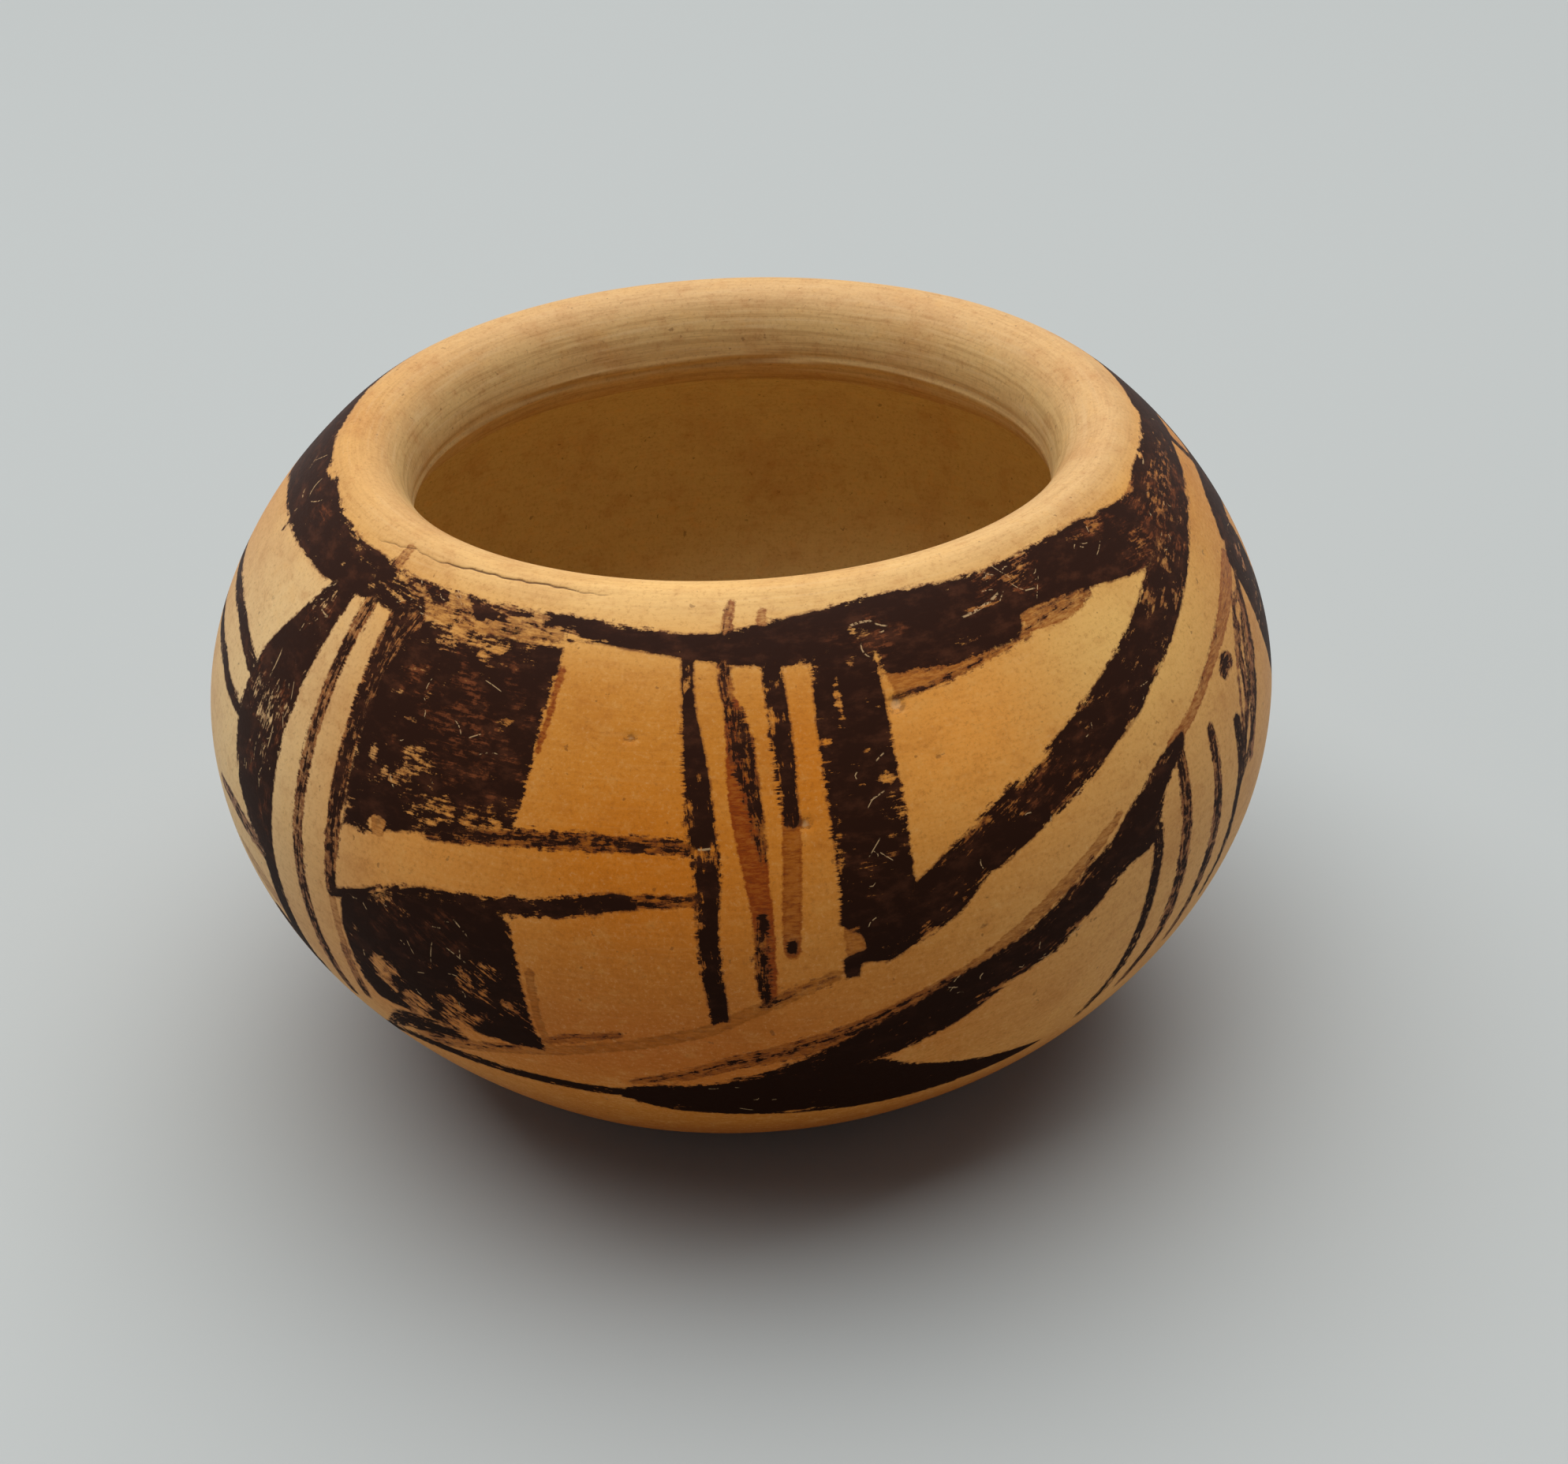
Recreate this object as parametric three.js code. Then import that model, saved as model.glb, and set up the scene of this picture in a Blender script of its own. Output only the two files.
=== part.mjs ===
// A small coil-built clay bowl, modelled as the lumps of clay it was raised from:
// a pressed base, four wall coils laid one on another, and a thick rolled rim coil.
// Millimetres, +Z up. The origin is the centre of the flat patch the bowl stands on.

import * as THREE from 'three';

// Outside of the bowl
const bowlHeight = 75.5;
const bellyDiameter = 120;
const bellyHeight = 44.5;
const footDiameter = 44;

// Rolled lip. Its crest is the highest circle of the bowl, and depths count down from it.
const throatDiameter = 70;
const throatDepth = 7.5;
const lipWidth = 6;
const rollDepth = 12.8;

// Inside of the bowl
const wallThickness = 5.8;
const floorThickness = 6;

// Lumps of clay, from the foot up
const baseHeight = 13;
const wallCoilCount = 4;
const rimCoilHeight = 9;

// How full each curve is: the share of its width or rise that the handle at that end reaches.
// A quarter circle has the round share at both ends.
const roundShare = 0.5523;
const footShare = 0.28;
const lowerBellyShare = 0.59;
const upperBellyShare = 0.51;
const crestShare = 0.2;
const floorShare = 0.66;
const hollowShare = 0.56;

// Facets, and the least height of one beside a seam
const segmentsAround = 72;
const stepsOfWall = 13;
const stepsOfLip = 6;
const leastFacet = 0.05;

// Places that follow from the sizes above, as (radius, height)
const crestRadius = throatDiameter / 2 + lipWidth;
const middleOfFoot = new THREE.Vector2(0, 0);
const foot = new THREE.Vector2(footDiameter / 2, 0);
const belly = new THREE.Vector2(bellyDiameter / 2, bellyHeight);
const crest = new THREE.Vector2(crestRadius, bowlHeight);
const throat = new THREE.Vector2(throatDiameter / 2, bowlHeight - throatDepth);
const underRoll = new THREE.Vector2(crestRadius, bowlHeight - rollDepth);
const hollow = new THREE.Vector2(bellyDiameter / 2 - wallThickness, bellyHeight);
const middleOfFloor = new THREE.Vector2(0, floorThickness);
const rimSeatHeight = bowlHeight - rimCoilHeight;
const wallCoilHeight = (rimSeatHeight - baseHeight) / wallCoilCount;

// A curve from a place where the clay runs level to one where it runs upright
function quarter(level, upright, levelShare, uprightShare, steps) {
  const levelHandle = new THREE.Vector2(level.x + (upright.x - level.x) * levelShare, level.y);
  const uprightHandle = new THREE.Vector2(upright.x, upright.y + (level.y - upright.y) * uprightShare);
  return new THREE.CubicBezierCurve(level, levelHandle, uprightHandle, upright).getPoints(steps);
}

// From the middle of the foot up to the crest of the lip
const outsideLine = [
  middleOfFoot,
  ...quarter(foot, belly, footShare, lowerBellyShare, stepsOfWall),
  ...quarter(crest, belly, crestShare, upperBellyShare, stepsOfWall).reverse().slice(1),
];

// From the middle of the floor up to the crest. Above the belly the hollow closes in under
// the rolled lip, and the lip turns round the throat and opens again to the crest.
const insideLine = [
  ...quarter(middleOfFloor, hollow, floorShare, hollowShare, stepsOfWall),
  ...quarter(underRoll, hollow, roundShare, roundShare, stepsOfWall).reverse().slice(1),
  ...quarter(underRoll, throat, roundShare, roundShare, stepsOfLip).slice(1),
  ...quarter(crest, throat, roundShare, roundShare, stepsOfLip).reverse().slice(1),
];

// The point at which a rising line meets the height of a seam
function meetSeam(line, seam) {
  const above = line.findIndex((point) => point.y >= seam);
  const low = line[above - 1];
  const high = line[above];
  return low.clone().lerp(high, (seam - low.y) / (high.y - low.y)).setY(seam);
}

// The stretch of a rising line between two seams, or to its own end where there is no seam
function stretch(line, lowSeam, highSeam) {
  const points = line.filter(({ y }) => y > lowSeam + leastFacet && y < highSeam - leastFacet);
  if (Number.isFinite(lowSeam)) {
    points.unshift(meetSeam(line, lowSeam));
  }
  if (Number.isFinite(highSeam)) {
    points.push(meetSeam(line, highSeam));
  }
  return points;
}

// One lump of clay, turned about the axis of the bowl. The base has no seam below and closes
// on the axis. The rim has no seam above, and its two lines share the crest.
function clay(name, lowSeam, highSeam, material) {
  const outside = stretch(outsideLine, lowSeam, highSeam);
  const inside = stretch(insideLine, lowSeam, highSeam).reverse();
  const outline = Number.isFinite(highSeam) ? [...outside, ...inside] : [...outside, ...inside.slice(1)];
  if (Number.isFinite(lowSeam)) {
    outline.push(outside[0]);
  }
  const geometry = new THREE.LatheGeometry(outline, segmentsAround).rotateX(Math.PI / 2);
  const mesh = new THREE.Mesh(geometry, material);
  mesh.name = name;
  return mesh;
}

const plainClay = new THREE.MeshStandardMaterial({ color: 0xa9713a, roughness: 0.62, metalness: 0 });
const slippedClay = new THREE.MeshStandardMaterial({ color: 0xbd7c38, roughness: 0.45, metalness: 0 });
const paleClay = new THREE.MeshStandardMaterial({ color: 0xdcae78, roughness: 0.5, metalness: 0 });

const bowl = new THREE.Group();
bowl.name = 'pottery_bowl';
bowl.add(clay('pressed_base', -Infinity, baseHeight, plainClay));
for (let i = 0; i < wallCoilCount; i++) {
  const seam = baseHeight + i * wallCoilHeight;
  bowl.add(clay(`wall_coil_${i + 1}`, seam, seam + wallCoilHeight, slippedClay));
}
bowl.add(clay('rim_coil', rimSeatHeight, Infinity, paleClay));

export default bowl;
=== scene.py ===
import math
from collections import namedtuple

import bpy
import numpy as np
from mathutils import Matrix


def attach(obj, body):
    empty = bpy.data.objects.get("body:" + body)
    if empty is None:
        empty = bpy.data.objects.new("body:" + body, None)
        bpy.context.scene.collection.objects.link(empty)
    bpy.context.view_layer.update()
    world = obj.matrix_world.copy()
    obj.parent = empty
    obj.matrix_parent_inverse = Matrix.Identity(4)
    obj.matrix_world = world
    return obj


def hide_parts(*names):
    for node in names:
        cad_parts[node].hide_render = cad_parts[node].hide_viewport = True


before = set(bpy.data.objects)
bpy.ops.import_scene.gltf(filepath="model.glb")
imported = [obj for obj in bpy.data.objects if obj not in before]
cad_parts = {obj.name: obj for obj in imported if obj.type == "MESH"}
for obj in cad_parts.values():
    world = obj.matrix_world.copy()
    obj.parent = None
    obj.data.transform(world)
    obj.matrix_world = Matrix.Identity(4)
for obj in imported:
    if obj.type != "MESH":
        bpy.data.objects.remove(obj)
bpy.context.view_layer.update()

scene = bpy.context.scene

# Sizes of the bowl, in millimetres
BOWL_HEIGHT = 75.5
BELLY_RADIUS, BELLY_HEIGHT = 60.0, 44.5
FOOT_RADIUS = 22.0
CREST_RADIUS = 41.0
THROAT_RADIUS, THROAT_HEIGHT = 35.0, 68.0
ROLL_HEIGHT = 62.7
HOLLOW_RADIUS = 54.2
FLOOR_HEIGHT = 6.0
SEAM_HEIGHTS = (13.0, 26.375, 39.75, 53.125, 66.5)
PIECES = (
    ("base_clay", "pressed_base", "plain_clay"),
    *((f"wall_clay_{number}", f"wall_coil_{number}", "painted_clay") for number in (1, 2, 3, 4)),
    ("rim_clay", "rim_coil", "rim_clay"),
)
ROUND_SHARE = 0.5523  # of a curve's width or rise, for a round quarter
SECTION_STEPS = 900
MM = 0.001
COLUMNS, LEAST_COLUMNS = 864, 27  # facets around the wall, halved five times towards the axis
FULL_RADIUS = 20.0  # the radius down to which no facets are left out


# The section of the clay

def quarter(level, upright, level_share=ROUND_SHARE, upright_share=ROUND_SHARE):
    """A curve from a place where the clay runs level to one where it runs upright."""
    t = np.linspace(0, 1, SECTION_STEPS)[:, None]
    level, upright = np.array(level), np.array(upright)
    a = np.array([level[0] + (upright[0] - level[0]) * level_share, level[1]])
    b = np.array([upright[0], upright[1] + (level[1] - upright[1]) * upright_share])
    return (1 - t) ** 3 * level + 3 * (1 - t) ** 2 * t * a + 3 * (1 - t) * t * t * b + t ** 3 * upright


belly, crest = (BELLY_RADIUS, BELLY_HEIGHT), (CREST_RADIUS, BOWL_HEIGHT)
throat, hollow = (THROAT_RADIUS, THROAT_HEIGHT), (HOLLOW_RADIUS, BELLY_HEIGHT)
under_roll = (CREST_RADIUS, ROLL_HEIGHT)
outside = np.vstack([
    [[0, 0]],
    quarter((FOOT_RADIUS, 0.0), belly, 0.28, 0.59),
    quarter(crest, belly, 0.2, 0.51)[::-1][1:],
])
inside = np.vstack([
    quarter(crest, throat)[1:],
    quarter(under_roll, throat)[::-1][1:],
    quarter(under_roll, hollow)[1:],
    quarter((0.0, FLOOR_HEIGHT), hollow, 0.66, 0.56)[::-1][1:],
])
section = np.vstack([outside, inside])
length = np.r_[0, np.cumsum(np.hypot(*np.diff(section, axis=0).T))]
FOOT_AT = FOOT_RADIUS
BELLY_AT = length[np.argmax(section[:, 0])]
CREST_AT = length[len(outside) - 1]
END_AT = length[-1]


def place(at):
    """Radius and height at a length along the section, from the middle of the foot to the floor's."""
    return np.interp(at, length, section[:, 0]), np.interp(at, length, section[:, 1])


def out_of_clay(at):
    """Direction out of the clay at a length along the section, as radius and height."""
    (r0, z0), (r1, z1) = place(at - 0.05), place(at + 0.05)
    size = np.hypot(r1 - r0, z1 - z0)
    return (z1 - z0) / size, -(r1 - r0) / size


def level_of(height, outer):
    """Length along the section at which the outside or the inside reaches a height."""
    if outer:
        return float(np.interp(height, outside[:, 1], length[:len(outside)]))
    return float(np.interp(height, inside[::-1, 1], length[:len(outside) - 1:-1]))


seams_out = [level_of(h, True) for h in SEAM_HEIGHTS]
seams_in = [level_of(h, False) for h in SEAM_HEIGHTS]
THROAT_AT = level_of(THROAT_HEIGHT, False)

# Rings of vertices along the section: where a stretch ends, and how far apart its rings are.
# They lie closest where the crack runs.
STRETCHES = [
    (FOOT_AT, 2.0),
    (seams_out[0], 0.75),
    *((seam, 0.45) for seam in seams_out[1:]),
    (BELLY_AT + 34.8, 0.4),
    (BELLY_AT + 37.4, 0.11),
    (CREST_AT, 0.3),
    (THROAT_AT, 0.4),
    (seams_in[4], 0.3),
    (seams_in[3], 0.55),
    *((seam, 1.0) for seam in seams_in[2::-1]),
    (END_AT, 1.5),
]
ring_at = [0.0]
for end, step in STRETCHES:
    count = max(1, round((end - ring_at[-1]) / step))
    ring_at += list(np.linspace(ring_at[-1], end, count + 1)[1:])
ring_at = np.array(ring_at)
ring_r, ring_z = place(ring_at)
ring_columns = []
for radius in ring_r:
    columns = COLUMNS
    while columns > LEAST_COLUMNS and radius < FULL_RADIUS * columns / COLUMNS:
        columns //= 2
    ring_columns.append(1 if radius < 1e-6 else columns)
ring_start = np.r_[0, np.cumsum(ring_columns)]

# Each vertex: length along the section, radius, height above the belly along the wall, and angle
vertex_at, vertex_r = np.repeat(ring_at, ring_columns), np.repeat(ring_r, ring_columns)
vertex_s = vertex_at - BELLY_AT
vertex_angle = np.concatenate([np.arange(n) * 2 * math.pi / n for n in ring_columns])
vertex_deg = np.degrees(vertex_angle)

# The stretch of wall that can be painted, in mm above the belly along the wall
WALL_LOW, WALL_TOP = -36.0, 38.0
on_outside = vertex_s < WALL_TOP


# What the potter's hands left in the surface

def smooth(low, high, x):
    t = np.clip((x - low) / (high - low), 0, 1)
    return t * t * (3 - 2 * t)


def window(low, high, soft, x):
    return smooth(low - soft, low, x) * (1 - smooth(high, high + soft, x))


def past(at, low, high):
    """From 0 to 1 between two distances past a place along the section."""
    return smooth(at + low, at + high, vertex_at)


def wave(turns, shift=0.0):
    return np.sin(2 * math.pi * turns + shift)


def hump(x):
    return np.exp(-x ** 2)


# Slow swells: waves around, length along the section in mm, turn in radians, depth in mm
SWELLS = (
    (2, 140, 0.4, 0.08), (3, 90, 1.9, 0.06), (5, 61, 4.1, 0.04), (7, 38, 2.2, 0.025), (11, 24, 5.3, 0.018),
)
swell = sum(
    depth * np.sin(waves * vertex_angle + turn + wave(vertex_at / long, turn))
    for waves, long, turn, depth in SWELLS
)
deepest = sum(depth for *_, depth in SWELLS)
on_wall = window(-48, 30, 12, vertex_s)
on_inside = past(CREST_AT, 3, 8) * (1 - past(END_AT, -40, -20))
sunk = (deepest - swell) * on_wall - swell * 1.2 * on_inside

# Ridges left by wiping under the roll, and a step where the roll was pressed on
neck = vertex_at - THROAT_AT
wander = 0.35 * np.sin(2 * vertex_angle + 0.7) + 0.2 * np.sin(5 * vertex_angle + 2.1)
sunk += window(0.5, 9.5, 1.2, neck) * (
    0.14 * wave(neck / 1.7 + wander) + 0.06 * wave(neck / 0.83 - 1.3 * wander, 1.0)
)
sunk += 0.25 * window(7.6, 8.4, 0.5, neck + wander)

# The crack along the lip where the last coil was rolled over: degrees and mm above the belly
CRACK = (
    (216.5, 35.3), (217.4, 35.5), (220, 35.8), (223.3, 36.35), (227.2, 36.1), (231, 36.3), (235, 36.6),
    (238, 36.6), (240, 36.6), (243, 36.7), (246, 36.8), (251, 36.5), (253, 36.4), (257, 36.8),
)
CRACK_WIDTH, CRACK_DEPTH = 0.1, 0.1
SAG_WIDTH, SAG_DEPTH = 0.9, 0.05
above_crack = vertex_s - np.interp(vertex_deg, *np.transpose(CRACK))
above_crack -= 0.06 * np.sin(vertex_deg * 1.7) + 0.03 * np.sin(vertex_deg * 3.1)
crack_open = window(217.5, 253, 3, vertex_deg) * (0.6 + 0.4 * window(232, 247, 5, vertex_deg)) * on_outside
crack = crack_open * hump(above_crack / CRACK_WIDTH)
sag = crack_open * (1 - smooth(-0.1, 0.1, above_crack)) * hump(above_crack / SAG_WIDTH)
sunk += CRACK_DEPTH * crack + SAG_DEPTH * sag

# Pits and chips in the outside: degrees, mm above the belly, half width, half height, depth, in mm
PITS = (
    (259.2, 22.7, 0.6, 0.3, 0.22), (276.3, 14.3, 0.6, 0.45, 0.3), (287.2, 24.2, 0.8, 0.7, 0.3),
    (290.6, 18.6, 0.5, 0.3, 0.15), (317.6, 17.1, 0.4, 0.3, 0.15), (232.9, 10, 0.9, 0.9, 0.08),
    (292.6, 0.7, 0.5, 0.3, 0.12), (203, 23, 0.5, 0.4, 0.1), (340.2, 22.5, 0.5, 0.4, 0.12),
    (24, 12, 0.7, 0.5, 0.25), (71, -4, 0.6, 0.6, 0.2), (133, 20, 0.8, 0.5, 0.25),
)
DEEP_PIT = 0.28  # the depth from which a pit shows in full
pit = np.zeros(len(vertex_s))
for deg, s, half_wide, half_high, depth in PITS:
    across = np.radians(vertex_deg - deg) * vertex_r / half_wide
    dent = hump(across) * hump((vertex_s - s) / half_high) * on_outside
    pit = np.maximum(pit, dent * min(1, depth / DEEP_PIT))
    sunk += depth * dent

# The surface with all this sunk into it. The foot and the middle of the floor are level.
END_CLEAR = 0.06
out_r, out_z = out_of_clay(np.clip(vertex_at, END_CLEAR, END_AT - END_CLEAR))
level = (vertex_at < FOOT_AT - 0.5) | (vertex_at > END_AT - 0.5)
out_r = np.where(level, 0, out_r)
out_z = np.where(level, np.sign(vertex_at - BELLY_AT), out_z)
vertex_z = np.repeat(ring_z, ring_columns) - sunk * out_z
bent_r = vertex_r - sunk * out_r
points = np.stack([bent_r * np.cos(vertex_angle), bent_r * np.sin(vertex_angle), vertex_z], 1)


# The painted pattern, as angle in degrees and height along the wall in mm, 0 at the belly.
# Angles grow anticlockwise seen from above, and the middle of the front is at 270.

def ruffle(deg, s, size, seed):
    """A crinkled shift in mm, so that no edge of paint is a plain line."""
    rng = np.random.default_rng(seed)
    shift = 0
    for long in (7.0, 4.3, 2.6, 1.7, 1.1):
        waves_round = round(2 * math.pi * BELLY_RADIUS / long * rng.uniform(0.4, 0.9))
        waves_high = rng.uniform(0.4, 0.9) * rng.choice((-1, 1)) / long
        shift = shift + wave(waves_round * deg / 360 + waves_high * s + rng.uniform()) * long ** 0.7
    return shift * size / 6


def curve(points, steps=4):
    """A smooth line through points: cubics that run on from each other without a corner."""
    p = np.array(points, float)
    if len(p) < 3:
        return p
    padded = np.vstack([2 * p[0] - p[1], p, 2 * p[-1] - p[-2]])
    t = (np.arange(steps) / steps)[:, None]
    out = [
        0.5 * (2 * b + (c - a) * t + (2 * a - 5 * b + 4 * c - d) * t * t + (3 * b - a - 3 * c + d) * t ** 3)
        for a, b, c, d in zip(padded, padded[1:], padded[2:], padded[3:])
    ]
    return np.vstack([*out, p[-1:]])


FAR = -4.0  # stands for a depth well outside every stroke
Spot = namedtuple("Spot", "part deg s mm_per_deg")


def turned_axes(spot, deg, s, lean):
    """How far along and across a slope of some degrees each place lies, in mm from one place."""
    x, y, turn = (spot.deg - deg) * spot.mm_per_deg, spot.s - s, math.radians(lean)
    return x * math.cos(turn) + y * math.sin(turn), y * math.cos(turn) - x * math.sin(turn)


def beside(spot, start, end):
    """Where each place lies beside a straight stretch: the share of it passed, the distance to it,
    how far across its line, and the stretch's own length, in mm."""
    ex, ey = (end[0] - start[0]) * spot.mm_per_deg, end[1] - start[1]
    px, py = (spot.deg - start[0]) * spot.mm_per_deg, spot.s - start[1]
    long = np.sqrt(ex * ex + ey * ey + 1e-12)
    t = np.clip((px * ex + py * ey) / long ** 2, 0, 1)
    return t, np.hypot(px - t * ex, py - t * ey), (py * ex - px * ey) / long, long


def follow(path, spot):
    """Millimetres inside a brush line, and how far along and across it each place lies."""
    best, brush, run = -np.inf, 0.0, 0.0
    for start, end in zip(path, path[1:]):
        t, away, across, long = beside(spot, start, end)
        inside = (start[2] + (end[2] - start[2]) * t) / 2 - away
        here = np.stack([run + t * long, across], -1)
        brush = np.where((inside > best)[..., None], here, brush)
        best = np.maximum(best, inside)
        run += float(long.mean())
    return best, brush


def depth_in_outline(outline, spot):
    """Millimetres inside a closed outline, less than nothing outside it."""
    least, within = np.inf, False
    for start, end in zip(outline, np.roll(outline, -1, axis=0)):
        least = np.minimum(least, beside(spot, start, end)[1])
        (a0, s0), (a1, s1) = start, end
        if s0 != s1:
            level = (s0 > spot.s) != (s1 > spot.s)
            within = within ^ (level & (spot.deg < (a1 - a0) * (spot.s - s0) / (s1 - s0) + a0))
    return np.where(within, least, -least)


class Paint:
    """Fields over the outside wall: how deep inside a stroke each vertex lies, and how worn it is."""

    LEAST_MM_PER_DEG = 0.6
    DRY_REACH, BRUSH_REACH = 0.6, 1.0  # how far past its edge a stroke keeps its dryness and its marks
    STROKE_STEP = 3.7  # sets the bristle marks of one stroke apart from those of the next
    UNDER_INSET = 0.3  # how much narrower than its band the wash under it is, at each edge
    STAIN_REACH, STAIN_RED = 0.05, 0.45  # the thin wash that a dry line leaves round itself
    PATCH_REACH = 2.2  # in half widths, how far out a worn patch is worked out

    def __init__(self):
        ring_s = ring_at - BELLY_AT
        self.rows = np.nonzero((ring_s > WALL_LOW) & (ring_s < WALL_TOP) & (ring_at < CREST_AT))[0]
        self.s = ring_s[self.rows]
        self.mm_per_deg = ring_r[self.rows] * math.pi / 180
        self.deg = np.arange(COLUMNS) * 360 / COLUMNS
        shape = (len(self.rows), COLUMNS)
        self.ink, self.wash = np.full(shape, FAR), np.full(shape, FAR)
        self.dry, self.red, self.worn, self.scuffed, self.combed = np.zeros((5, *shape))
        self.brush = np.stack(np.broadcast_arrays(self.deg, self.s[:, None], np.zeros(shape)), -1)
        self.strokes = 0
        self.set_hand()

    def set_hand(self, turn=0.0, seed=None):
        """Turns what is painted next round the bowl. With a seed, the hand that paints it shakes."""
        self.turn = turn
        self.shake = np.random.default_rng(seed) if seed is not None else None

    def at(self, points):
        """Points where the hand puts them. What follows angle and height in a point stays as it is."""
        shift = np.zeros((len(points), 2))
        if self.shake:
            shift += self.shake.normal(0, 0.35, 2) + self.shake.normal(0, 0.12, shift.shape)
        return [(a + self.turn + da, s + ds, *rest) for (a, s, *rest), (da, ds) in zip(points, shift)]

    def near(self, points, margin=3.0):
        """The part of the grid near some points, with its angles counted on from theirs."""
        degs, heights = np.array(points, float).T[:2]
        aside = margin / self.LEAST_MM_PER_DEG
        low, high = degs.min() - aside, degs.max() + aside
        rows = np.nonzero((self.s > heights.min() - margin) & (self.s < heights.max() + margin))[0]
        turned = (self.deg - low) % 360 + low
        columns = np.nonzero(turned < min(high, low + 360))[0]
        part = np.ix_(rows, columns)
        return Spot(part, turned[None, columns], self.s[rows, None], self.mm_per_deg[rows, None])

    def lay_down(self, spot, depth, brush, dry, wash):
        """One stroke: thin paint where wash says how red it is, or else ink."""
        part, field = spot.part, self.ink if wash is None else self.wash
        top = depth > field[part]
        field[part] = np.maximum(field[part], depth)
        if wash is not None:
            self.red[part] = np.where(top, wash, self.red[part])
            return
        self.strokes += 1
        self.dry[part] = np.where(top & (depth > -self.DRY_REACH), dry, self.dry[part])
        held = np.concatenate([brush, np.full((*depth.shape, 1), self.strokes * self.STROKE_STEP)], -1)
        self.brush[part] = np.where((top & (depth > -self.BRUSH_REACH))[..., None], held, self.brush[part])

    def band(self, one_edge, other_edge, dry=0.0, wash=None, under=None):
        """A band between two edges drawn in the same direction, perhaps with a red wash under it."""
        edges = [curve(self.at(edge)) for edge in (one_edge, other_edge)]
        outline = np.vstack([edges[0], edges[1][::-1]])
        share = np.linspace(0, 1, 40)
        middle = sum(
            np.stack([np.interp(share, np.linspace(0, 1, len(edge)), edge[:, i]) for i in (0, 1)], 1)
            for edge in edges
        ) / 2
        spot = self.near(outline)
        _, brush = follow([(a, s, 0) for a, s in middle], spot)
        depth = depth_in_outline(outline, spot)
        self.lay_down(spot, depth, brush, dry, wash)
        if under is not None:
            self.lay_down(spot, depth - self.UNDER_INSET, brush, 0, under)

    def block(self, *outline, dry=0.0, lean=0.0):
        """A filled shape. Lean is how far its brush marks slope from level, in degrees."""
        outline = np.array(self.at(outline), float)
        spot = self.near(outline)
        brush = turned_axes(spot, *outline[0], lean)
        self.lay_down(spot, depth_in_outline(outline, spot), np.stack(brush, -1), dry, None)

    def line(self, *path, dry=0.0, wash=None):
        """A brush line through points that each hold an angle, a height and the line's width there."""
        path = curve(self.at(path))
        spot = self.near(path)
        depth, brush = follow(path, spot)
        self.lay_down(spot, depth, brush, dry, wash)
        if wash is None and 0.3 < dry < 0.9:
            self.lay_down(spot, depth + self.STAIN_REACH, brush, 0, self.STAIN_RED)

    def rub(self, field, patches):
        """Soft-edged patches: degrees, mm, half width, half height, how much."""
        for deg, s, half_wide, half_high, amount in patches:
            deg += self.turn
            spot = self.near([(deg, s)], self.PATCH_REACH * max(half_wide, half_high))
            crinkle = min(half_wide, half_high) * 0.5
            x = (spot.deg - deg) * spot.mm_per_deg + ruffle(spot.deg, spot.s, crinkle, 3)
            y = spot.s - s + ruffle(spot.deg, spot.s, crinkle, 4)
            away = (x / half_wide) ** 2 + (y / half_high) ** 2
            field[spot.part] = np.maximum(field[spot.part], np.exp(-away ** 1.5) * amount)


class Scratches:
    """Thin straight or bent scratches, each in the first layer where it meets no other one.

    A layer holds how far each vertex lies across and along its scratch, in half widths and half
    lengths, and whether it lies near one at all."""

    REACH = 0.8  # how far from a scratch its layer is kept for it, in mm
    LAYERS = 3

    def __init__(self, paint):
        self.paint = paint
        self.layers = np.zeros((self.LAYERS, *paint.ink.shape, 3))

    def cut(self, deg, s, half_long, lean, half_wide=0.07, bend=0.0):
        """Lean is the angle in degrees from level, and bend is in mm at each end."""
        spot = self.paint.near([(deg, s)], half_long + self.REACH + 1)
        along, across = turned_axes(spot, deg, s, lean)
        across = across - bend * (along / half_long) ** 2
        near = (abs(across) < self.REACH) & (abs(along) < half_long + self.REACH)
        for layer in self.layers:
            if not (near & (layer[spot.part][..., 2] > 0)).any():
                marks = np.stack([across / half_wide, along / half_long, np.ones(near.shape)], -1)
                layer[spot.part] = np.where(near[..., None], marks, layer[spot.part])
                return


paint = Paint()
band, block, line, rub = paint.band, paint.block, paint.line, paint.rub


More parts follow.
